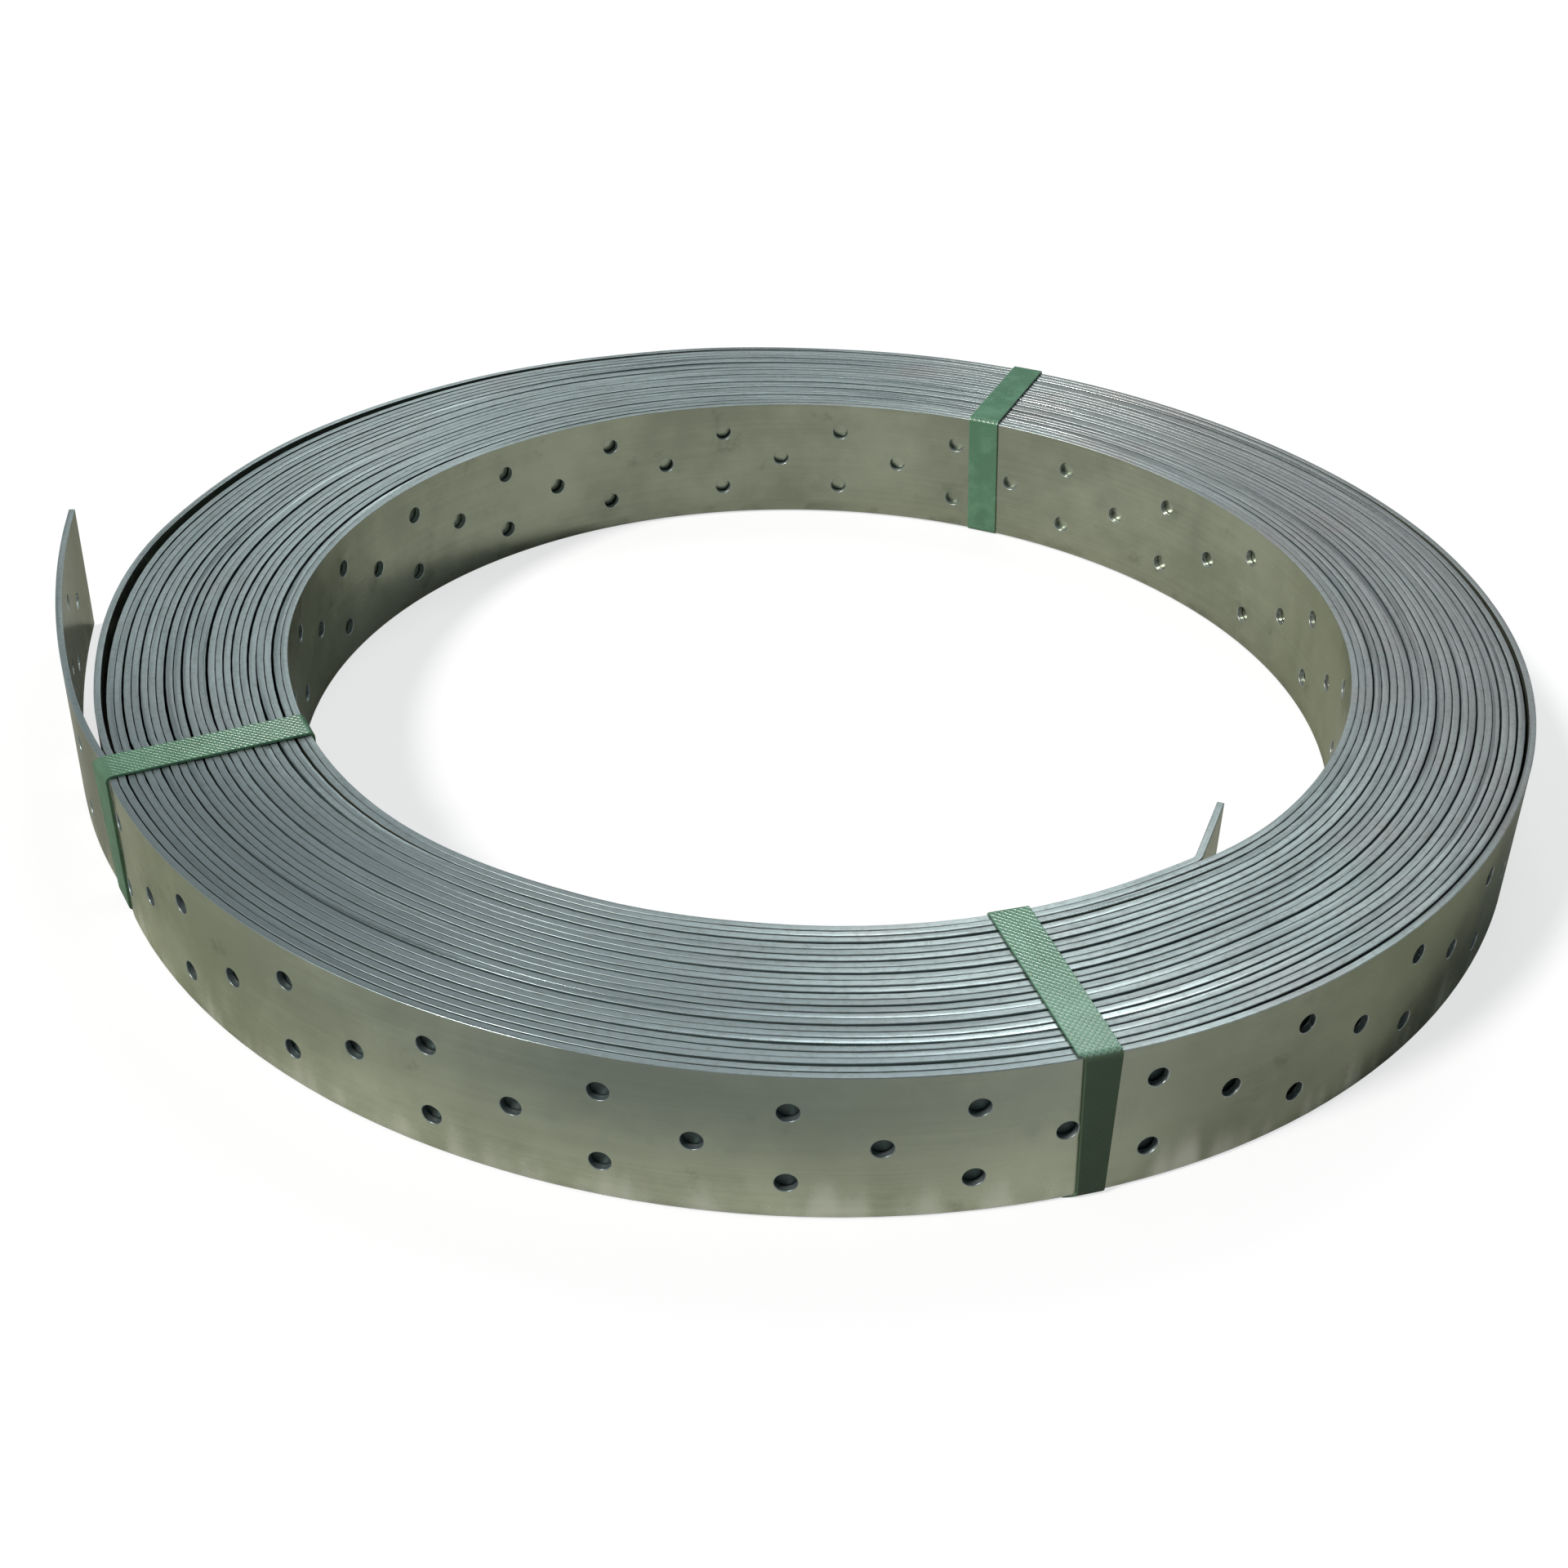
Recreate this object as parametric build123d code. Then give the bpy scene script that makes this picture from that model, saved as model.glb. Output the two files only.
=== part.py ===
from build123d import *
from math import ceil, cos, degrees, pi, radians, sin
import os

# A coil of perforated wind bracing strap, tied with three plastic binding bands.
# It lies flat with its axis along Z, on the undersides of the bands. The origin is on the axis, at
# the floor. The strap's loose outer end runs along +Y. Sizes are in millimetres and degrees.

# Strap
strap_width = 40.0
strap_thickness = 2.0

# Nail holes, in columns of one and of two holes by turns along the strap
hole_diameter = 5.0
column_pitch = 20.0
row_spacing = 20.0
wall_hole_sides = 6

# Wound turns
eye_diameter = 295.0
turn_count = 23
turn_gap = 0.24
turns_a_slope_above = 2
turns_a_slope_below = 4
slope_height = 1.0

# Binding bands, by their angles round the coil
band_width = 10.0
band_thickness = 0.8
band_angles = {"left": 190.5, "front": 271.4, "back": 51.5}

# Loose outer end, which springs off the coil just past the left band
tail_band_clearance = 3.0
tail_kick_angle = 5.4
tail_bend_radius = 230.0
tail_straight = 90.0
tail_hole_end_distance = 22.0

# Last turn, which stands off the turns below it from the loose end round the back
sprung_gap = 2.6
sprung_widest_angle = 150.0
sprung_half_span = 95.0
sprung_from_angle = 65.0
sprung_to_angle = 188.0

# Inner end, bent into the eye
tab_angle = 292.0
tab_length = 27.5
tab_bend_angle = 31.0
tab_bend_radius = 8.0
tab_hole_end_distance = 12.5

# Places that follow from the sizes
eye_radius = eye_diameter / 2
turn_pitch = strap_thickness + turn_gap
coil_radius = eye_radius + turn_count * turn_pitch
strap_bottom = band_thickness
strap_top = strap_bottom + strap_width
strap_middle = strap_bottom + strap_width / 2
cut_margin = 1.0


def column_heights(column):
    """Heights of the holes in a column, counted from the end of the strap."""
    if column % 2 == 0:
        return [strap_middle]
    return [strap_middle - row_spacing / 2, strap_middle + row_spacing / 2]


def slopes(turns_a_slope):
    """Radius and drop of each corner of an end, where the turns lean together by a few at a time."""
    count = ceil(turn_count / turns_a_slope)
    corners = [(coil_radius - number * turns_a_slope * turn_pitch, slope_height * (number % 2))
               for number in range(count)]
    return corners + [(eye_radius, 0.0)]


def turned_ring():
    """All turns as one ring, with slopes on both ends, wider below where they lie on the floor."""
    upper = [(radius, strap_top - drop) for radius, drop in slopes(turns_a_slope_above)]
    lower = [(radius, strap_bottom + drop) for radius, drop in slopes(turns_a_slope_below)]
    section = make_face(Polyline(*upper, *reversed(lower), close=True))
    return revolve(Plane.XZ * section, Axis.Z)


def sprung_slot():
    """The crescent between the last turn and the turns below it, open at both ends of the coil."""
    wall = coil_radius - strap_thickness
    shift = sprung_gap / (1 - cos(radians(sprung_half_span)))
    below = Circle(wall + shift * cos(radians(sprung_half_span)))
    crescent = Circle(wall) - Rot(Z=sprung_widest_angle) * Pos(X=-shift) * below
    middle_angle = (sprung_from_angle + sprung_to_angle) / 2
    rim = Vector(2 * coil_radius, 0)
    corners = [rim.rotate(Axis.Z, angle) for angle in (sprung_from_angle, middle_angle, sprung_to_angle)]
    wedge = make_face(Polyline((0, 0), *corners, close=True))
    return Pos(Z=strap_bottom - cut_margin) * extrude(crescent & wedge, strap_width + 2 * cut_margin)


def wall_holes(wall_radius, outward, first_angle, turning, columns):
    """Punched holes round a wall of the ring, down to the turn behind. Few sides keep them light."""
    blank = RegularPolygon(hole_diameter / 2, wall_hole_sides, major_radius=False)
    punch = extrude(blank, turn_pitch + cut_margin)
    step = degrees(column_pitch / wall_radius)
    holes = []
    for number, column in enumerate(columns):
        turn = Rot(Z=first_angle + turning * number * step)
        for height in column_heights(column):
            floor = Pos(wall_radius - outward * turn_pitch, 0, height)
            holes.append(turn * floor * Rot(Y=outward * 90) * punch)
    return holes


def strip(bend, straight):
    """A length of strap on edge along a bend and a straight run."""
    outline = trace(Curve() + [bend, straight], strap_thickness)
    return Pos(Z=strap_bottom) * extrude(outline, strap_width, dir=(0, 0, 1))


def strip_holes(bend, straight, distance, column):
    """Round holes through a strip, one column at a distance from the strip's free end."""
    if distance <= straight.length:
        run, place = straight, 1 - distance / straight.length
    else:
        run, place = bend, 1 - (distance - straight.length) / bend.length
    along = run % place
    across = Vector(along.Y, -along.X, 0)
    start = run @ place - across * (strap_thickness / 2 + cut_margin)
    depth = cut_margin + strap_thickness + turn_gap
    punch = extrude(Circle(hole_diameter / 2), depth)
    return [Plane(start + Vector(0, 0, height), z_dir=across) * punch for height in column_heights(column)]


def outer_end(ring):
    """Adds the loose outer end, the gap below the last turn, and the holes along both."""
    root_angle = band_angles["left"] - degrees((band_width / 2 + tail_band_clearance) / coil_radius)
    heading = root_angle - 90 + tail_kick_angle
    root = Vector(coil_radius - strap_thickness / 2, 0).rotate(Axis.Z, root_angle)
    bend = JernArc(root, Vector(1, 0).rotate(Axis.Z, heading), tail_bend_radius, 90 - heading)
    straight = Line(bend @ 1, bend @ 1 + Vector(0, tail_straight))
    tail_length = bend.length + straight.length

    tail_columns = ceil((tail_length - tail_hole_end_distance) / column_pitch)
    tail_holes = []
    for column in range(tail_columns):
        distance = tail_hole_end_distance + column * column_pitch
        tail_holes += strip_holes(bend, straight, distance, column)

    # The turn below is left whole where the tail still lies in it
    covered = strap_thickness / sin(radians(tail_kick_angle))
    past_root = tail_hole_end_distance + tail_columns * column_pitch - tail_length
    wall_columns = int((2 * pi * coil_radius - past_root - covered) / column_pitch) + 1
    first_angle = root_angle + degrees(past_root / coil_radius)
    columns = range(tail_columns, tail_columns + wall_columns)
    ring = ring - sprung_slot() - wall_holes(coil_radius, 1, first_angle, 1, columns)
    return ring + strip(bend, straight) - tail_holes


def inner_end(ring):
    """Adds the inner end bent into the eye, and the holes in it and round the eye's wall."""
    root = Vector(eye_radius + strap_thickness / 2, 0).rotate(Axis.Z, tab_angle)
    heading = Vector(0, 1).rotate(Axis.Z, tab_angle)
    bend = JernArc(root, heading, tab_bend_radius, tab_bend_angle)
    straight = Line(bend @ 1, bend @ 1 + (bend % 1) * (tab_length - bend.length))

    past_root = tab_hole_end_distance + column_pitch - tab_length
    wall_columns = int((2 * pi * eye_radius - past_root) / column_pitch)
    first_angle = tab_angle - degrees(past_root / eye_radius)
    ring = ring - wall_holes(eye_radius, -1, first_angle, -1, range(1, wall_columns + 1))
    return ring + strip(bend, straight) - strip_holes(bend, straight, tab_hole_end_distance, 0)


def binding_band(angle):
    """A closed loop drawn tight round the coil's section."""
    wall = coil_radius - eye_radius
    around = 2 * band_thickness
    outside = Rectangle(wall + around, strap_width + around)
    loop = Pos(eye_radius + wall / 2, strap_middle) * (outside - Rectangle(wall, strap_width))
    sleeve = revolve(Plane.XZ * loop, Axis.Z)
    slice_box = Pos(coil_radius, 0, strap_middle) * Box(2 * coil_radius, band_width, 2 * strap_width)
    return Rot(Z=angle) * (sleeve & slice_box)


os.makedirs("parts", exist_ok=True)
export_step(inner_end(outer_end(turned_ring())), "parts/strap_coil.step")
for name, angle in band_angles.items():
    export_step(binding_band(angle), f"parts/binding_band_{name}.step")
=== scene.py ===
import bpy
from math import atan2, ceil, cos, hypot, pi, radians, sin
from mathutils import Matrix, Vector


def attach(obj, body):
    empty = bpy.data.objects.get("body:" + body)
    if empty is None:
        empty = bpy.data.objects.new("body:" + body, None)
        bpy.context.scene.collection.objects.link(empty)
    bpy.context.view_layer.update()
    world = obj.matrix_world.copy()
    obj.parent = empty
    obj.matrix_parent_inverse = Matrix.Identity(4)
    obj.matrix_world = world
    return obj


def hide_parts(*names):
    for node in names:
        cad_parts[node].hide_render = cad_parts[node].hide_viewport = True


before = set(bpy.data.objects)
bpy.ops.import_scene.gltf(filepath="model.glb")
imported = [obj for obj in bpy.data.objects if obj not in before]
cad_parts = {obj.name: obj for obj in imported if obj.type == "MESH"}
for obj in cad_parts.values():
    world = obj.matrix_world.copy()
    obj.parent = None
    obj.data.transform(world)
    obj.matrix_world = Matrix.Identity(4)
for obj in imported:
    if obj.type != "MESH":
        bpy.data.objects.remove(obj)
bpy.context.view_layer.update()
scene = bpy.context.scene
scene.view_settings.view_transform = "Standard"
mm = 0.001
weld = 0.02 * mm     # points closer than this become one
near = 0.01 * mm     # points closer than this to a line are on it
print("frame loaded")


# Small helpers for working as by hand

def clearSelection():
    if bpy.context.mode != "OBJECT":
        bpy.ops.object.mode_set(mode="OBJECT")
    bpy.ops.object.select_all(action="DESELECT")


def pick(*pieces):
    clearSelection()
    for piece in pieces:
        piece.select_set(True)
    bpy.context.view_layer.objects.active = pieces[0]
    return pieces[0]


def editAll(piece):
    pick(piece)
    bpy.ops.object.mode_set(mode="EDIT")
    bpy.ops.mesh.select_mode(type="VERT")
    bpy.ops.mesh.select_all(action="SELECT")


def editSome(piece, wanted, mode="VERT"):
    # opens the piece with only the points, edges or faces that wanted says yes to
    pick(piece)
    bpy.ops.object.mode_set(mode="EDIT")
    bpy.ops.mesh.select_mode(type=mode)
    bpy.ops.mesh.select_all(action="DESELECT")
    bpy.ops.object.mode_set(mode="OBJECT")
    mesh = piece.data
    if mode == "VERT":
        for point in mesh.vertices:
            point.select = wanted(point.co)
    elif mode == "EDGE":
        for edge in mesh.edges:
            a, b = (mesh.vertices[i].co for i in edge.vertices)
            edge.select = wanted(a, b)
    else:
        for face in mesh.polygons:
            face.select = wanted(face)
    bpy.ops.object.mode_set(mode="EDIT")


def done():
    bpy.ops.object.mode_set(mode="OBJECT")


def addModifier(piece, kind, **settings):
    # adds a modifier and applies it at once
    pick(piece)
    modifier = piece.modifiers.new(kind.lower(), kind)
    for name, value in settings.items():
        setattr(modifier, name, value)
    bpy.ops.object.modifier_apply(modifier=modifier.name)


def repeatAlong(piece, count, step):
    # repeats the piece along X, welded end to end
    addModifier(piece, "ARRAY", count=count, use_relative_offset=False, use_constant_offset=True,
                constant_offset_displace=(step, 0, 0), use_merge_vertices=True, merge_threshold=weld)


def copyOf(piece, offset):
    twin = piece.copy()
    twin.data = piece.data.copy()
    twin.data.transform(Matrix.Translation(offset))
    scene.collection.objects.link(twin)
    return twin


def joined(name, *pieces):
    piece = pick(*pieces)
    bpy.ops.object.join()
    piece.name = piece.data.name = name
    return piece


def mergeDoubles(piece):
    editAll(piece)
    bpy.ops.mesh.remove_doubles(threshold=weld)
    bpy.ops.mesh.normals_make_consistent(inside=False)
    done()


def freshUv(mesh):
    for layer in list(mesh.uv_layers):
        mesh.uv_layers.remove(layer)
    return mesh.uv_layers.new(name="flat")


def smoothStep(low, high, value):
    part = min(max((value - low) / (high - low), 0.0), 1.0)
    return part * part * (3 - 2 * part)


def waveSum(waves, place):
    return sum(share * sin(rate * place + start) for rate, start, share in waves)


# Shader maths as plain expressions

class Value:
    def __init__(self, finish, socket):
        self.finish, self.socket = finish, socket

    def maths(self, operation, *others):
        return self.finish.node("ShaderNodeMath", {"operation": operation},
                                dict(enumerate((self,) + others)))

    def __add__(self, other):
        return self.maths("ADD", other)

    def __sub__(self, other):
        return self.maths("SUBTRACT", other)

    def __mul__(self, other):
        return self.maths("MULTIPLY", other)

    def __truediv__(self, other):
        return self.maths("DIVIDE", other)

    def __rsub__(self, other):
        return self.finish.node("ShaderNodeMath", {"operation": "SUBTRACT"}, {0: other, 1: self})

    __radd__, __rmul__ = __add__, __mul__

    def stretch(self, low, high):
        # 0 below low, 1 above high, smooth between
        return self.finish.node("ShaderNodeMapRange", {"interpolation_type": "SMOOTHSTEP"},
                                {"Value": self, "From Min": low, "From Max": high})


class Finish:
    def __init__(self, name, kind=bpy.data.materials):
        self.material = kind.new(name)
        self.material.use_nodes = True
        self.tree = self.material.node_tree
        self.tree.nodes.clear()

    def node(self, kind, settings=None, sockets=None, output=0):
        made = self.tree.nodes.new(kind)
        for name, value in (settings or {}).items():
            setattr(made, name, value)
        for name, value in (sockets or {}).items():
            if isinstance(value, Value):
                self.tree.links.new(value.socket, made.inputs[name])
            else:
                made.inputs[name].default_value = value
        return Value(self, made.outputs[output])

    def objectPlace(self):
        return self.node("ShaderNodeTexCoord", output="Object")

    def strapPlace(self):
        return self.node("ShaderNodeUVMap", {"uv_map": "flat"})

    def scaled(self, place, scale):
        return self.node("ShaderNodeMapping", None, {"Vector": place, "Scale": scale})

    def axis(self, place, number):
        return self.node("ShaderNodeSeparateXYZ", None, {0: place}, output=number)

    def towards(self, place, way):
        # how far a place lies from the coil's middle in one direction
        return self.node("ShaderNodeVectorMath", {"operation": "DOT_PRODUCT"}, {0: place, 1: way},
                         output="Value")

    def noise(self, place, scale, detail, rough):
        return self.node("ShaderNodeTexNoise", None,
                         {"Vector": place, "Scale": scale, "Detail": detail, "Roughness": rough})

    def blend(self, factor, first, second):
        # the colour sockets of a mix node are its inputs 6 and 7 and its output 2
        return self.node("ShaderNodeMix", {"data_type": "RGBA"}, {0: factor, 6: first, 7: second}, output=2)

    def bump(self, height, distance, strength=1.0, normal=None):
        sockets = {"Height": height, "Distance": distance, "Strength": strength}
        if normal:
            sockets["Normal"] = normal
        return self.node("ShaderNodeBump", None, sockets)

    def surface(self, sockets):
        self.output(self.node("ShaderNodeBsdfPrincipled", None, sockets))
        return self.material

    def output(self, shader, kind="ShaderNodeOutputMaterial"):
        end = self.tree.nodes.new(kind)
        self.tree.links.new(shader.socket, end.inputs["Surface"])


# The strap's winding: one flat line from the bent inner end to the loose outer end

winding = {
    "eyeRadius": 147.5 * mm,
    "outerRadius": 199.9 * mm,   # at the left band
    "turns": 23,
    "steps": 160,            # points a turn
    "tabAngle": 291.75,
    "rootAngle": 190.5,      # where the loose end leaves the coil, under the left band
    "tabLength": 27.5 * mm,
    "tabBend": 31.5,
    "tabBendRadius": 5.0 * mm,
    "tabBendSteps": 8,
    "tabSteps": 5,           # points on its straight part
    "tailKick": 8.2,
    "tailRadii": ((45 * mm, 211 * mm), (108 * mm, 438 * mm)),   # length and radius of each curve
    "tailStep": 3.5 * mm,
    # how far the last turn stands off behind the left band and at the right, and the angles past the
    # loose end at which it starts to, does so in full, starts to close and is shut again
    "sprung": 2.4 * mm,
    "sprungSpan": (-2, 26, 45, 150),
    "sprungRight": 1.6 * mm,
    "sprungRightSpan": (168, 208, 212, 252),
    "gapTight": 0.55,        # how far the turns lie apart, against the mean gap
    "gapOpen": 2.1,
    "gapWaves": ((1.37, 0.3, 1.0), (2.61, 1.1, 1.0), (4.43, 2.2, 0.8)),     # rate, start and share
    "gapRange": (-0.2, 1.4),     # the waves' sum where the gap is tight, and where it is open
    # out of round: radius of the outside and shift of the inside in mm, by angle
    "outside": ((0, 198.5), (30, 197), (70, 199), (90, 201), (110, 203), (130, 203.5), (150, 202),
                (180, 198.5), (188.5, 198.2), (192.5, 199.8), (240, 199.2), (275, 198.8),
                (315, 197.3), (345, 198.4)),
    "inside": ((60, 0), (180, -0.4), (210, 1.0), (233, -0.6), (250, -1.4), (285, -1.6),
               (303, 0.4), (330, 0)),
}

strap = {
    "width": 40.0 * mm,
    "thickness": 1.85 * mm,
    "bottom": 0.8 * mm,
    "holeRadius": 2.5 * mm,
    "holeSides": 24,
    "rimRadius": 3.3 * mm,
    "column": 20.0 * mm,
    "innerColumn": 1.0155,   # columns of holes lie this much further apart on the wound strap
    "outerColumn": 1.021,
    "edgeRound": 0.2 * mm,
    "edgeSteps": 2,
    "sharpAngle": radians(50),
    "plainStep": 8.5 * mm,
    "firstHole": 12.5 * mm,      # from the tip of the bent end
    "lastHole": 22 * mm,         # from the tip of the loose end
    "bendCuts": 9,               # cuts across the bent end, for the bend
    "bendCutStart": 3.2 * mm,
    "bendCutStep": 0.47 * mm,
    "drift": 0.4 * mm,           # how far the edges of the turns wander down
    "driftWaves": ((5.1, 0.6, 1.0), (8.7, 2.0, 1.0), (13.3, 4.1, 1.0)),
}


def unevenness(turnAngle):
    # groups of turns that lie tight, and gaps that open and close along the strap
    opened = smoothStep(*winding["gapRange"], waveSum(winding["gapWaves"], turnAngle))
    return winding["gapTight"] + (winding["gapOpen"] - winding["gapTight"]) * opened


def byAngle(table, angle):
    # a value read round the coil from a few angles, smooth between them
    angle %= 360
    places = [(table[-1][0] - 360, table[-1][1])] + list(table) + [(table[0][0] + 360, table[0][1])]
    for (a, first), (b, second) in zip(places, places[1:]):
        if a <= angle <= b:
            return first + (second - first) * smoothStep(a, b, angle)


def riseAndFall(span, angle):
    start, full, closing, shut = span
    return smoothStep(start, full, angle) * (1 - smoothStep(closing, shut, angle))


def sprungGap(pastRoot):
    left = winding["sprung"] * riseAndFall(winding["sprungSpan"], pastRoot)
    right = winding["sprungRight"] * riseAndFall(winding["sprungRightSpan"], pastRoot)
    return left + right


def windingRadii():
    steps = winding["steps"]
    swept = winding["tabAngle"] - winding["rootAngle"] + 360 * winding["turns"]
    count = round(swept * steps / 360)
    first = winding["eyeRadius"] + strap["thickness"] / 2
    last = winding["outerRadius"] - strap["thickness"] / 2
    lastTurn = count - steps

    def spiral(meanGap):
        radii = []
        for i in range(count + 1):
            if i < steps:
                radii.append(first + (strap["thickness"] + meanGap) * i / steps)
                continue
            gap = meanGap * unevenness(2 * pi * i / steps) + sprungGap((i - lastTurn) * 360 / steps)
            radii.append(radii[i - steps] + strap["thickness"] + gap)
        return radii

    # the mean gap that brings the last turn out to its radius
    tight, loose = spiral(0)[-1], spiral(mm)[-1]
    radii = spiral(mm * (last - tight) / (loose - tight))
    return [outOfRound(radii, i) for i in range(count + 1)]


def outOfRound(radii, i):
    # pushes the outer turns to the coil's real outline, and the inner ones to the eye's, by
    # opening or closing the gaps between them
    steps, half = winding["steps"], strap["thickness"] / 2
    turnsOutside = (len(radii) - 1 - i) // steps
    outermost = radii[i + turnsOutside * steps]
    gapsInside = radii[i] - radii[0] - strap["thickness"] * i / steps
    gapsOutside = outermost - radii[i] - strap["thickness"] * turnsOutside
    angle = winding["tabAngle"] - 360 * i / steps
    out = byAngle(winding["outside"], angle) * mm - outermost - half
    inside = byAngle(winding["inside"], angle) * mm
    part = gapsInside / (gapsInside + gapsOutside)
    return radii[i] + out * part + inside * (1 - part)


radii = windingRadii()


def windingAngle(i):
    return radians(winding["tabAngle"] - 360 * i / winding["steps"])


def bentEnd():
    # back from the first turn: a tight bend into the eye, then straight
    angle = radians(winding["tabAngle"])
    place = Vector((cos(angle), sin(angle))) * radii[0]
    heading = angle + pi / 2
    points, bends = [], winding["tabBendSteps"]
    turn = radians(winding["tabBend"]) / bends
    for i in range(bends):
        heading += turn / 2
        place = place + Vector((cos(heading), sin(heading))) * turn * winding["tabBendRadius"]
        heading += turn / 2
        points.append(place)
    straight = winding["tabLength"] - bends * turn * winding["tabBendRadius"]
    for i in range(winding["tabSteps"]):
        place = place + Vector((cos(heading), sin(heading))) * straight / winding["tabSteps"]
        points.append(place)
    return points[::-1]


def looseEnd():
    # on from the last turn: a small kick outwards, then a slack curve
    angle = windingAngle(len(radii) - 1)
    place = Vector((cos(angle), sin(angle))) * radii[-1]
    heading = angle - pi / 2 + radians(winding["tailKick"])
    points = []
    for reach, radius in winding["tailRadii"]:
        steps = round(reach / winding["tailStep"])
        for i in range(steps):
            heading -= reach / steps / radius / 2
            place = place + Vector((cos(heading), sin(heading))) * reach / steps
            heading -= reach / steps / radius / 2
            points.append(place)
    return points


def windingLine():
    tab = bentEnd()
    turns = [Vector((cos(windingAngle(i)), sin(windingAngle(i)))) * r for i, r in enumerate(radii)]
    points = tab + turns + looseEnd()
    lengths = [0.0]
    for a, b in zip(points, points[1:]):
        lengths.append(lengths[-1] + (b - a).length)
    curve = bpy.data.curves.new("windingLine", "CURVE")
    curve.dimensions = "2D"
    line = curve.splines.new("POLY")
    line.points.add(len(points) - 1)
    for point, place in zip(line.points, points):
        point.co = (place.x, place.y, 0, 1)
    guide = bpy.data.objects.new("windingLine", curve)
    scene.collection.objects.link(guide)
    return guide, lengths, len(tab)


guide, lengths, tabPoints = windingLine()
strapLength = lengths[-1]
print("winding line:", round(strapLength, 3), "m of strap")


def strapAt(angle, turn):
    # how far along the strap an angle of a turn lies
    i = (winding["tabAngle"] - angle) * winding["steps"] / 360 + turn * winding["steps"] + tabPoints
    low = int(i)
    return lengths[low] + (lengths[low + 1] - lengths[low]) * (i - low)


# The flat strap, modelled lying along X on its edge, then wound on the line

def holedTile():
    # a square of strap round one nail hole
    bpy.ops.mesh.primitive_circle_add(vertices=strap["holeSides"], radius=strap["holeRadius"],
                                      rotation=(pi / 2, 0, 0))
    tile = bpy.context.object
    bpy.ops.object.transform_apply(rotation=True)
    editAll(tile)
    grow = strap["rimRadius"] / strap["holeRadius"]
    bpy.ops.mesh.extrude_region_move()
    bpy.ops.transform.resize(value=(grow, 1, grow))
    bpy.ops.mesh.extrude_region_move()
    bpy.ops.transform.resize(value=(2, 1, 2))
    done()
    half = strap["column"] / 2
    for point in tile.data.vertices:        # lays the outermost ring on the square
        if hypot(point.co.x, point.co.z) > 1.5 * strap["rimRadius"]:
            around = atan2(point.co.z, point.co.x)
            quarter = round(around / (pi / 2) - 1e-4)
            along = (around - quarter * pi / 2) / (pi / 4)
            side = Vector((cos(quarter * pi / 2), 0, sin(quarter * pi / 2)))
            point.co = half * (side + along * Vector((-side.z, 0, side.x)))
    return tile


def strapCell(pairFirst):
    # 40 mm of strap: a column of one hole and a column of two
    tile = holedTile()
    half, pitch = strap["column"] / 2, strap["column"]
    single, pair = (pitch + half, half) if pairFirst else (half, pitch + half)
    lower = copyOf(tile, (pair, 0, half))
    upper = copyOf(tile, (pair, 0, pitch + half))
    middle = copyOf(tile, (single, 0, pitch))
    bpy.data.objects.remove(tile)
    rows = 3        # of plain faces above and below the single hole
    for height, way in ((half, -1), (half + pitch, 1)):
        for i in range(rows):
            editSome(middle, lambda co: abs(co.z - height) < near)
            bpy.ops.mesh.extrude_region_move(TRANSFORM_OT_translate={"value": (0, 0, way * half / rows)})
            done()
            height += way * half / rows
    cell = joined("strapCell", middle, lower, upper)
    mergeDoubles(cell)
    return cell


def cutLength(piece, place, side):
    # cuts the strap across, and trims what lies past the cut on one side, or neither
    editAll(piece)
    bpy.ops.mesh.bisect(plane_co=(place, 0, 0), plane_no=(1, 0, 0),
                        clear_outer=side > 0, clear_inner=side < 0)
    done()


def runOn(piece, place, reach):
    # carries the strap on without holes
    editSome(piece, lambda co: abs(co.x - place) < near)
    bpy.ops.mesh.extrude_region_move(TRANSFORM_OT_translate={"value": (reach, 0, 0)})
    done()


def thicken(piece):
    mergeDoubles(piece)
    addModifier(piece, "SOLIDIFY", thickness=strap["thickness"], offset=0)
    addModifier(piece, "BEVEL", width=strap["edgeRound"], segments=strap["edgeSteps"],
                limit_method="ANGLE", angle_limit=strap["sharpAngle"])


def innerStretch(end):
    # the bent end and the first turn, which shows inside the eye
    firstColumn = strap["firstHole"] - strap["column"] / 2
    piece = strapCell(False)
    cells = ceil((end - firstColumn) / (2 * strap["column"]))
    repeatAlong(piece, cells, 2 * strap["column"])
    piece.data.transform(Matrix.Translation((firstColumn, 0, 0)))
    runOn(piece, firstColumn, -firstColumn)
    piece.data.transform(Matrix.Diagonal((strap["innerColumn"], 1, 1, 1)))
    for i in range(strap["bendCuts"]):
        cutLength(piece, winding["tabLength"] - strap["bendCutStart"] + i * strap["bendCutStep"], 0)
    cutLength(piece, end, 1)
    thicken(piece)
    return piece


def outerStretch(start):
    # the last turn and the loose end
    plainEnd = strap["lastHole"] - strap["column"] / 2
    piece = strapCell(True)
    cells = ceil((strapLength - plainEnd - start) / (2 * strap["column"]))
    repeatAlong(piece, cells, 2 * strap["column"])
    lastColumn = strapLength - plainEnd
    piece.data.transform(Matrix.Translation((lastColumn - cells * 2 * strap["column"], 0, 0)))
    runOn(piece, lastColumn, plainEnd)
    coiled = strapLength - sum(reach for reach, radius in winding["tailRadii"])
    for point in piece.data.vertices:
        point.co.x -= max(coiled - point.co.x, 0) * (strap["outerColumn"] - 1)
    cutLength(piece, start, -1)
    thicken(piece)
    return piece


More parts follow.
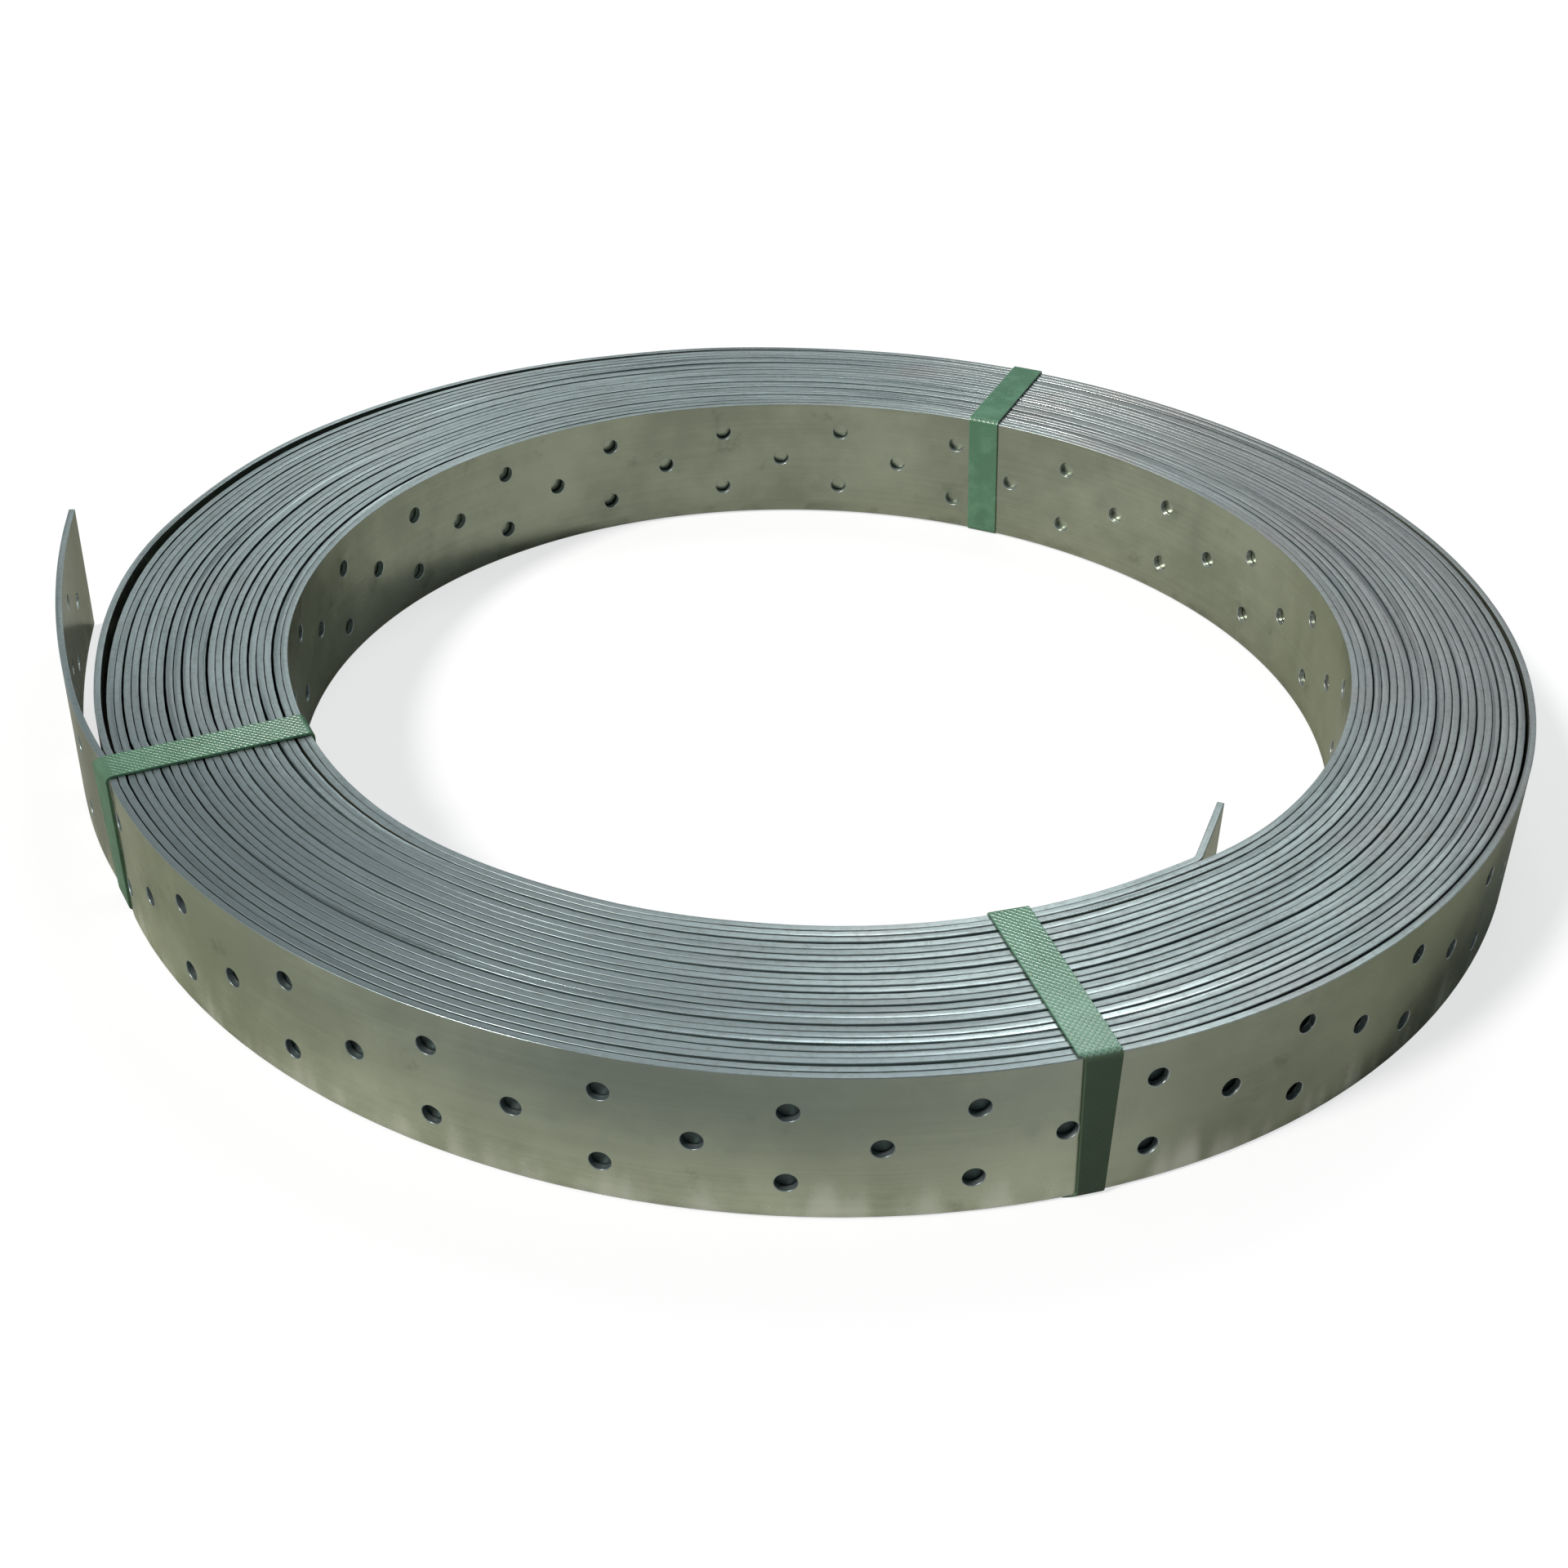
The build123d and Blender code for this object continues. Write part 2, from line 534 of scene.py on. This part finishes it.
def hiddenStretch(start, end):
    # the turns between, of which only the edges show
    steps = ceil((end - start) / strap["plainStep"])
    step = (end - start) / steps
    bpy.ops.mesh.primitive_cube_add(size=1, location=(start + step / 2, 0, strap["width"] / 2),
                                    scale=(step, strap["thickness"], strap["width"]))
    piece = bpy.context.object
    bpy.ops.object.transform_apply(location=True, scale=True)
    editSome(piece, lambda a, b: abs(a.x - b.x) > 0.5 * step, "EDGE")
    bpy.ops.mesh.bevel(offset=strap["edgeRound"], segments=strap["edgeSteps"])
    done()
    editSome(piece, lambda face: abs(face.normal.x) > 0.9, "FACE")
    bpy.ops.mesh.delete(type="FACE")
    done()
    repeatAlong(piece, steps, step)
    for place in (start, end):
        editSome(piece, lambda co: abs(co.x - place) < 0.2 * step)
        bpy.ops.mesh.edge_face_add()
        done()
    mergeDoubles(piece)
    return piece


def edgeDrift(along):
    waves = strap["driftWaves"]
    return -strap["drift"] * (0.5 + waveSum(waves, along) / len(waves) / 2)


def wind(piece, faceFinish):
    # keeps each point's place on the flat strap as a UV map, marks the cut edges, then winds it
    mesh = piece.data
    flat = freshUv(mesh)
    for loop in mesh.loops:
        place = mesh.vertices[loop.vertex_index].co
        flat.data[loop.index].uv = (place.x, place.z + place.y)
    mesh.materials.clear()
    for material in (faceFinish, slitEdge):
        mesh.materials.append(material)
    for face in mesh.polygons:
        face.material_index = 0 if abs(face.normal.y) > 0.98 else 1
    for point in mesh.vertices:
        point.co.z += strap["bottom"] + edgeDrift(point.co.x)
    addModifier(piece, "CURVE", object=guide, deform_axis="POS_X")


# The pieces of the strap meet under the bands, where the joints don't show

bandAngles = {"left": 190.5, "front": 271.4, "back": 51.5}
innerEnd, secondEnd = strapAt(bandAngles["front"], 1), strapAt(bandAngles["front"], 2)
tailStart = strapAt(bandAngles["left"], winding["turns"])
behindStart, outerStart = (strapAt(bandAngles["left"], winding["turns"] - back) for back in (2, 1))
# painted shade on stretches of the last turn, at the right and in front
paintedShadeStretchStart, paintedShadeStretchEnd = strapAt(-25, winding["turns"] - 1), strapAt(272, winding["turns"])
# where the painted shade on the upper front of the outer wall starts and ends
paintedTopShadeStart, paintedTopShadeEnd = strapAt(268, winding["turns"]), strapAt(212, winding["turns"])


# Strap finishes

steel = {
    "faceDark": (0.335, 0.360, 0.275, 1),
    "facePale": (0.530, 0.560, 0.435, 1),
    # real stains, grime and specks, and also the painted shade on darker stretches of the strap
    "stainAndPaintedShade": (0.160, 0.170, 0.126, 1),
    "smear": (0.80, 0.81, 0.72, 1),
    # painted shade for the upper front of the outer wall
    "paintedTopShade": (0.175, 0.205, 0.190, 1),
    # painted shade on the faces between the turns
    "between": (0.120, 0.195, 0.200, 1),
    # painted shade on the turn behind the outer turn, so that its holes look dark
    "paintedShadeBehindHoles": (0.055, 0.080, 0.085, 1),
    "grazing": (0.58, 0.59, 0.50, 1),    # dulled zinc, seen along its face
    "edge": (0.44, 0.505, 0.495, 1),
    "edgeDull": (0.315, 0.365, 0.36, 1),
    "edgeWarm": (0.39, 0.38, 0.372, 1),
    # painted shade on the edges at the front left
    "edgePaintedShade": (0.205, 0.245, 0.25, 1),
    # painted highlight on the edges at the left, toward the back
    "edgePaintedHighlight": (0.56, 0.64, 0.635, 1),
    # painted shade deep between the turns
    "deepestPaintedShade": (0.018, 0.032, 0.034, 1),
    "paintedShadeSide": (-0.71, -0.71, 0),       # the side of the coil where the edges get painted shade
    "openSide": (-0.86, 0.50, 0),        # and the side where the edges get a painted highlight and the faces between the turns the deepest painted shade
}


def makeZincFace():
    finish = Finish("zincFace")
    place, flat = finish.objectPlace(), finish.strapPlace()
    cloud = finish.noise(place, 17, 3, 0.5)
    mottle = finish.noise(place, 110, 4, 0.6)
    grain = finish.noise(place, 1500, 2, 0.5)
    rolled = finish.noise(finish.scaled(flat, (14, 900, 1)), 1, 2, 0.5)     # lines along the strap
    tone = (0.60 * cloud + 0.28 * mottle + 0.12 * rolled).stretch(0.34, 0.66)
    colour = finish.blend(tone, steel["faceDark"], steel["facePale"])
    stains = finish.noise(place, 60, 5, 0.65).stretch(0.60, 0.74)
    colour = finish.blend(0.5 * stains, colour, steel["stainAndPaintedShade"])
    along, height = finish.axis(flat, 0), finish.axis(flat, 1)
    outermost = along.maths("GREATER_THAN", outerStart)
    wander = along + 0.12 * cloud
    # painted shade: the upper part of the outer wall in front is darkened, standing in for a darker
    # reflection
    paintedTopShade = wander.stretch(paintedTopShadeStart, paintedTopShadeStart + 0.12)
    paintedTopShade = paintedTopShade * (1 - wander.stretch(paintedTopShadeEnd - 0.05, paintedTopShadeEnd + 0.05))
    paintedTopShade = paintedTopShade * (height + 0.03 * mottle).stretch(0.022, 0.050)    # darker towards the upper edge
    colour = finish.blend(0.7 * paintedTopShade, colour, steel["paintedTopShade"])
    # painted shade: darker stretches of the last turn at the right and in front, on the loose end and on
    # the first turn inside the eye
    paintedShadeStretch = along.stretch(paintedShadeStretchStart, paintedShadeStretchStart + 0.08)
    paintedShadeStretch = paintedShadeStretch * (1 - along.stretch(paintedShadeStretchEnd - 0.03, paintedShadeStretchEnd + 0.01))
    onTail = along.stretch(tailStart, tailStart + 0.02)
    paintedShadeStretch = paintedShadeStretch + 1.5 * onTail + 0.6 * (1 - along.stretch(innerEnd, secondEnd))
    colour = finish.blend(0.55 * paintedShadeStretch, colour, steel["stainAndPaintedShade"])
    grimeAndPaintedShade = mottle.stretch(0.40, 0.70) * (1 - height.stretch(0.0005, 0.0035))       # along the lower edge
    colour = finish.blend(0.6 * grimeAndPaintedShade, colour, steel["stainAndPaintedShade"])
    # pale smears that run up the outermost wall from the floor
    runs = finish.noise(finish.scaled(flat, (62, 0, 1)), 1, 2, 0.6)
    smears = (runs - height * 11).stretch(0.40, 0.60) * (1 - height.stretch(0.003, 0.016)) * outermost
    colour = finish.blend(0.5 * smears, colour, steel["smear"])
    rough = 0.13 + 0.14 * mottle + 0.08 * grain + 0.12 * smears
    relief = finish.bump(mottle, 0.15 * mm, 0.4)
    relief = finish.bump(grain, 0.03 * mm, 0.6, relief)
    return finish.surface({"Base Color": colour, "Metallic": 0.9, "Roughness": rough, "Normal": relief,
                           "Specular Tint": steel["grazing"]})


def makeSlitEdge():
    finish = Finish("slitEdge")
    place, flat = finish.objectPlace(), finish.strapPlace()
    along = finish.noise(finish.scaled(flat, (40, 1200, 1)), 1, 3, 0.55)
    patches = finish.noise(place, 30, 3, 0.5)
    specks = finish.noise(place, 700, 2, 0.6)
    colour = finish.blend(along.stretch(0.35, 0.65), steel["edgeDull"], steel["edge"])
    toRight = finish.axis(place, 0) + 0.1 * patches
    warm = 0.4 * patches.stretch(0.5, 0.7) + 0.6 * toRight.stretch(0.12, 0.22)
    colour = finish.blend(warm, colour, steel["edgeWarm"])
    # painted shade: edges darker on the front-left side of the coil
    paintedEdgeShade = finish.towards(place, steel["paintedShadeSide"]).stretch(0.115, 0.165)
    colour = finish.blend(0.9 * paintedEdgeShade, colour, steel["edgePaintedShade"])
    # painted highlight: edges brighter on the left side of the coil, toward the back
    paintedEdgeHighlight = finish.towards(place, steel["openSide"]).stretch(0.09, 0.16)
    colour = finish.blend(0.25 * paintedEdgeHighlight, colour, steel["edgePaintedHighlight"])
    colour = finish.blend(0.35 * specks.stretch(0.45, 0.80), colour, steel["stainAndPaintedShade"])
    polished = finish.noise(finish.scaled(flat, (5, 300, 1)), 1, 2, 0.5).stretch(0.52, 0.66)
    rough = 0.33 - 0.20 * polished + 0.10 * along + 0.08 * specks
    # each turn leans a little its own way
    fromMiddle = (finish.axis(flat, 1) - strap["width"] / 2).maths("ABSOLUTE")
    lean = 0.32 * (finish.noise(finish.scaled(flat, (6, 0, 1)), 1, 2, 0.5) - 0.5)
    relief = finish.bump(lean * fromMiddle, 1.0)
    relief = finish.bump(specks, 0.03 * mm, 0.5, relief)
    return finish.surface({"Base Color": colour, "Metallic": 0.85, "Roughness": rough, "Normal": relief})


def makeShutIn(name):
    # the faces that are shut in between the turns: a duller finish than the rest, and painted darker as
    # shade
    finish = Finish(name)
    place = finish.objectPlace()
    patches = finish.noise(place, 80, 3, 0.6)
    colour = finish.blend(0.4 * patches, steel[name], steel["stainAndPaintedShade"])
    # painted shade: the faces between the turns darkest on the left side of the coil, toward the back
    paintedDeepShade = finish.towards(place, steel["openSide"]).stretch(0.07, 0.15)
    colour = finish.blend(0.85 * paintedDeepShade, colour, steel["deepestPaintedShade"])
    return finish.surface({"Base Color": colour, "Metallic": 0.7, "Roughness": 0.40 + 0.2 * patches})


zincFace, slitEdge = makeZincFace(), makeSlitEdge()
between, paintedShadeBehindHoles = makeShutIn("between"), makeShutIn("paintedShadeBehindHoles")
clearSelection()
stretches = [innerStretch(innerEnd), hiddenStretch(innerEnd, secondEnd),
             hiddenStretch(secondEnd, behindStart), hiddenStretch(behindStart, outerStart),
             outerStretch(outerStart)]
for stretch, faceFinish in zip(stretches, (zincFace, zincFace, between, paintedShadeBehindHoles, zincFace)):
    wind(stretch, faceFinish)
    print("wound", stretch.name, len(stretch.data.polygons), "faces")
strapCoil = joined("strapCoil", *stretches)
bpy.data.objects.remove(guide)
pick(strapCoil)
bpy.ops.object.shade_smooth_by_angle(angle=strap["sharpAngle"])
addModifier(strapCoil, "WEIGHTED_NORMAL", keep_sharp=True, weight=100)      # flats stay flat between rounds
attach(strapCoil, "root")
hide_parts("strap_coil")
print("strap coil done")


# Binding bands

band = {
    "width": 10.0 * mm,
    "thickness": 0.8 * mm,
    "corner": 1.3 * mm,
    "cornerSteps": 6,
    "rise": 41.6 * mm,
    "topFrom": 40.75 * mm,       # the side that faces up lies between these heights
    "topTo": 41.5 * mm,
    "legFrom": 197.5 * mm,       # and the outer leg between these radii
    "legTo": 199.5 * mm,
    "clearance": 0.05 * mm,
    "edgeRound": 0.14 * mm,
    "sharpAngle": radians(60),
    "smoothAngle": radians(18),
    "weave": 1.6 * mm,
    "green": (0.065, 0.165, 0.088, 1),
    "greenPale": (0.105, 0.235, 0.140, 1),
    # dust on the tops, and the painted sheen there
    "dustAndSheen": (0.38, 0.66, 0.54, 1),
    # painted shade on the outer legs
    "grimeAndPaintedShade": (0.024, 0.042, 0.018, 1),
}


def makeGreenBand():
    finish = Finish("greenBand")
    place, flat = finish.objectPlace(), finish.strapPlace()
    across, along = finish.axis(flat, 0), finish.axis(flat, 1)
    lines = []
    for way in (1, -1):
        slope = (across + way * along) / band["weave"]
        lines.append(slope.maths("PINGPONG", 0.5))
    upward = finish.axis(place, 2).stretch(band["topFrom"], band["topTo"])
    lattice = (1 - lines[0].maths("MINIMUM", lines[1]).stretch(0.03, 0.20)) * (0.15 + 0.85 * upward)
    wear = finish.noise(place, 160, 4, 0.6)
    fine = finish.noise(place, 1500, 2, 0.5)
    colour = finish.blend(0.75 * wear.stretch(0.4, 0.7), band["green"], band["greenPale"])
    radius = finish.node("ShaderNodeVectorMath", {"operation": "LENGTH"},
                         {0: finish.scaled(place, (1, 1, 0))}, output="Value")
    outerLeg = radius.stretch(band["legFrom"], band["legTo"])
    # painted shade: the outer legs darkened, least at the left
    paintedLegShade = outerLeg * (0.4 + 0.5 * finish.axis(place, 0).stretch(-0.17, -0.10))      # least at the left
    colour = finish.blend(paintedLegShade, colour, band["grimeAndPaintedShade"])
    # paler tops: partly dust and wear, partly a painted sheen that is stronger in front, with painted
    # highlights along the lattice
    sheenInFront = 1 - 0.8 * finish.axis(place, 1).stretch(-0.13, -0.06)
    dustAndSheenShare = (0.02 + 0.12 * wear + 0.26 * lattice) * sheenInFront
    colour = finish.blend(upward * dustAndSheenShare, colour, band["dustAndSheen"])
    rough = 0.19 + 0.08 * wear + 0.06 * fine + 0.6 * outerLeg     # matt on the outer legs
    relief = finish.bump(lattice, 0.14 * mm)
    relief = finish.bump(fine, 0.02 * mm, 0.5, relief)
    return finish.surface({"Base Color": colour, "Roughness": rough, "Normal": relief,
                           "Specular IOR Level": 0.7})


greenBand = makeGreenBand()


def bandSeat(angle):
    # inner and outer radius of the wound strap at a band
    steps = winding["steps"]
    low = int((winding["tabAngle"] - angle) % 360 * steps / 360)
    turns = [radii[i] for i in range(low, len(radii), steps)]
    half = strap["thickness"] / 2
    return turns[0] - half, turns[-1] + half


# How each band lies: standOff turns the outer leg out on the side where the loose end lies under it,
# slant carries the foot of the inner leg along the coil, pinch draws in one side of the outer leg
bandLay = {
    "left": {"standOff": 1.3 * mm, "slant": 0, "pinch": (0, 0)},
    "front": {"standOff": 0, "slant": 0, "pinch": (1.2 * mm, 3.4 * mm)},
    "back": {"standOff": 0, "slant": -2.4 * mm, "pinch": (0, 0)},
}


def layBand(piece, left, right, lay):
    for point in piece.data.vertices:
        rise = point.co.z / band["rise"]
        across = (point.co.x - left) / (right - left)
        outerLeg = smoothStep(right - band["corner"], right, point.co.x)
        point.co.x += lay["standOff"] * (1 - point.co.y / band["width"]) * (0.4 + 0.6 * rise) * outerLeg
        point.co.y += lay["slant"] * (1 - rise) * (1 - across)
        if point.co.y < 0:
            atTop, atFoot = lay["pinch"]
            point.co.y += (atTop * rise + atFoot * (1 - rise)) * outerLeg


def bindingBand(name, angle, lay):
    inner, outer = bandSeat(angle)
    half, corner = band["thickness"] / 2, band["corner"]
    left = inner - band["clearance"] - half         # middle of the band's thickness
    right = outer + band["clearance"] + half
    low, high = half, band["rise"] - half
    lift, back = high - low - 2 * corner, right - left - 2 * corner
    bpy.ops.mesh.primitive_plane_add(size=1, location=((left + right) / 2, 0, low))
    piece = bpy.context.object
    piece.scale = (back, band["width"], 1)
    bpy.ops.object.transform_apply(location=True, scale=True)
    rounds = [((right - corner, 0, low + corner), (0, 0, lift)),
              ((right - corner, 0, high - corner), (-back, 0, 0)),
              ((left + corner, 0, high - corner), (0, 0, -lift)),
              ((left + corner, 0, low + corner), None)]
    editSome(piece, lambda co: abs(co.x - right + corner) < near)
    for centre, straight in rounds:
        bpy.ops.mesh.spin(steps=band["cornerSteps"], angle=pi / 2, center=centre, axis=(0, 1, 0))
        if straight:
            bpy.ops.mesh.extrude_region_move(TRANSFORM_OT_translate={"value": straight})
    done()
    mergeDoubles(piece)
    layBand(piece, left, right, lay)
    addModifier(piece, "SOLIDIFY", thickness=band["thickness"], offset=0, use_even_offset=True)
    addModifier(piece, "BEVEL", width=band["edgeRound"], segments=2, limit_method="ANGLE",
                angle_limit=band["sharpAngle"])
    mesh = piece.data
    flat = freshUv(mesh)
    for face in mesh.polygons:
        level = abs(face.normal.z) > 0.7
        for index in face.loop_indices:
            place = mesh.vertices[mesh.loops[index].vertex_index].co
            flat.data[index].uv = (place.y, place.x if level else place.z)
    mesh.transform(Matrix.Rotation(radians(angle), 4, "Z"))
    mesh.materials.clear()
    mesh.materials.append(greenBand)
    piece.name = mesh.name = name
    pick(piece)
    bpy.ops.object.shade_smooth_by_angle(angle=band["smoothAngle"])
    return piece


for side, angle in bandAngles.items():
    clearSelection()
    piece = bindingBand("band" + side.capitalize(), angle, bandLay[side])
    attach(piece, "root")
    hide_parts("binding_band_" + side)
print("bands done")


# Floor, light and camera. The photograph's axes are turned from the part's by this much

photoTurn = Matrix.Rotation(radians(-16.4), 4, "Z")

studio = {
    "floorColour": (0.92, 0.92, 0.915, 1),
    "floorBounce": (0.46, 0.46, 0.44, 1),    # a quieter floor in the light that it throws back
    "floorWhite": 0.7,       # how far the floor is lifted towards white where it is seen
    "mirrored": 0.03,        # and where the background shows in the steel
    "floorSize": 600.0,
    "sky": (0.75, 0.90, 0.98, 1),
    "skyStrength": 0.225,
}

view = {
    "tilt": radians(33.34),
    "roll": radians(1.61),
    "right": 8.05 * mm,          # where the coil's middle lies from the camera
    "up": 15.12 * mm,
    "ahead": 640.5 * mm,
    "lens": 49.858,
    "sensor": 36,
}


def whitened(finish, share):
    # how far the background is white: to the camera, and a little in what mirrors it
    lift = finish.node("ShaderNodeLightPath", output="Is Camera Ray") * share
    for ray in ("Is Glossy Ray", "Is Transmission Ray"):
        lift = lift + finish.node("ShaderNodeLightPath", output=ray) * studio["mirrored"]
    return lift


def makeFloor():
    bpy.ops.mesh.primitive_plane_add(size=studio["floorSize"])
    floor = bpy.context.object
    floor.name = "floor"
    finish = Finish("paleFloor")
    seen = finish.node("ShaderNodeLightPath", output="Is Camera Ray")
    colour = finish.blend(seen, studio["floorBounce"], studio["floorColour"])
    plain = finish.node("ShaderNodeBsdfDiffuse", None, {"Color": colour})
    white = finish.node("ShaderNodeEmission", None, {"Color": (1, 1, 1, 1), "Strength": 1.0})
    lift = whitened(finish, studio["floorWhite"])
    finish.output(finish.node("ShaderNodeMixShader", None, {0: lift, 1: plain, 2: white}))
    floor.data.materials.append(finish.material)


def addLamp(name, kind, place, power, colour, **settings):
    # points at the coil from a place given in the photograph's axes
    light = bpy.data.lights.new(name, kind)
    light.energy, light.color = power, colour
    for setting, value in settings.items():
        setattr(light, setting, value)
    lamp = bpy.data.objects.new(name, light)
    lamp.location = photoTurn @ Vector(place)
    lamp.rotation_euler = (-lamp.location).to_track_quat("-Z", "Y").to_euler()
    scene.collection.objects.link(lamp)


def makeSky():
    finish = Finish("sky", bpy.data.worlds)
    plain = finish.node("ShaderNodeBackground", None,
                        {"Color": studio["sky"], "Strength": studio["skyStrength"]})
    white = finish.node("ShaderNodeBackground", None, {"Color": (1, 1, 1, 1), "Strength": 1.0})
    lift = whitened(finish, 1.0)
    finish.output(finish.node("ShaderNodeMixShader", None, {0: lift, 1: plain, 2: white}),
                  "ShaderNodeOutputWorld")
    scene.world = finish.material


def makeCamera():
    tilt, roll = view["tilt"], view["roll"]
    right = Vector((1, 0, 0))
    ahead = Vector((0, cos(tilt), -sin(tilt)))
    up = Vector((0, sin(tilt), cos(tilt)))
    place = Vector((0, 0, strap["bottom"]))
    place -= view["right"] * right + view["up"] * up + view["ahead"] * ahead
    rolledRight = cos(roll) * right + sin(roll) * up
    rolledUp = cos(roll) * up - sin(roll) * right
    turn = Matrix((rolledRight, rolledUp, -ahead)).transposed().to_4x4()
    data = bpy.data.cameras.new("camera")
    data.sensor_width, data.lens = view["sensor"], view["lens"]
    data.clip_start, data.clip_end = 0.01, 1000
    camera = bpy.data.objects.new("camera", data)
    camera.matrix_world = photoTurn @ Matrix.Translation(place) @ turn
    scene.collection.objects.link(camera)
    scene.camera = camera


clearSelection()
makeFloor()
makeSky()
addLamp("key", "SUN", (-1.0, -0.63, 1.31), 3.5, (1.0, 0.985, 0.95), angle=radians(11))
addLamp("backBox", "AREA", (0.20, 0.91, 1.33), 5.2, (0.95, 0.98, 1.0), shape="SQUARE", size=0.55)
addLamp("strip", "AREA", (-0.36, 1.31, 0.85), 0.56, (0.93, 0.98, 1.0), shape="RECTANGLE",
        size=0.14, size_y=0.62)
makeCamera()
print("studio done")
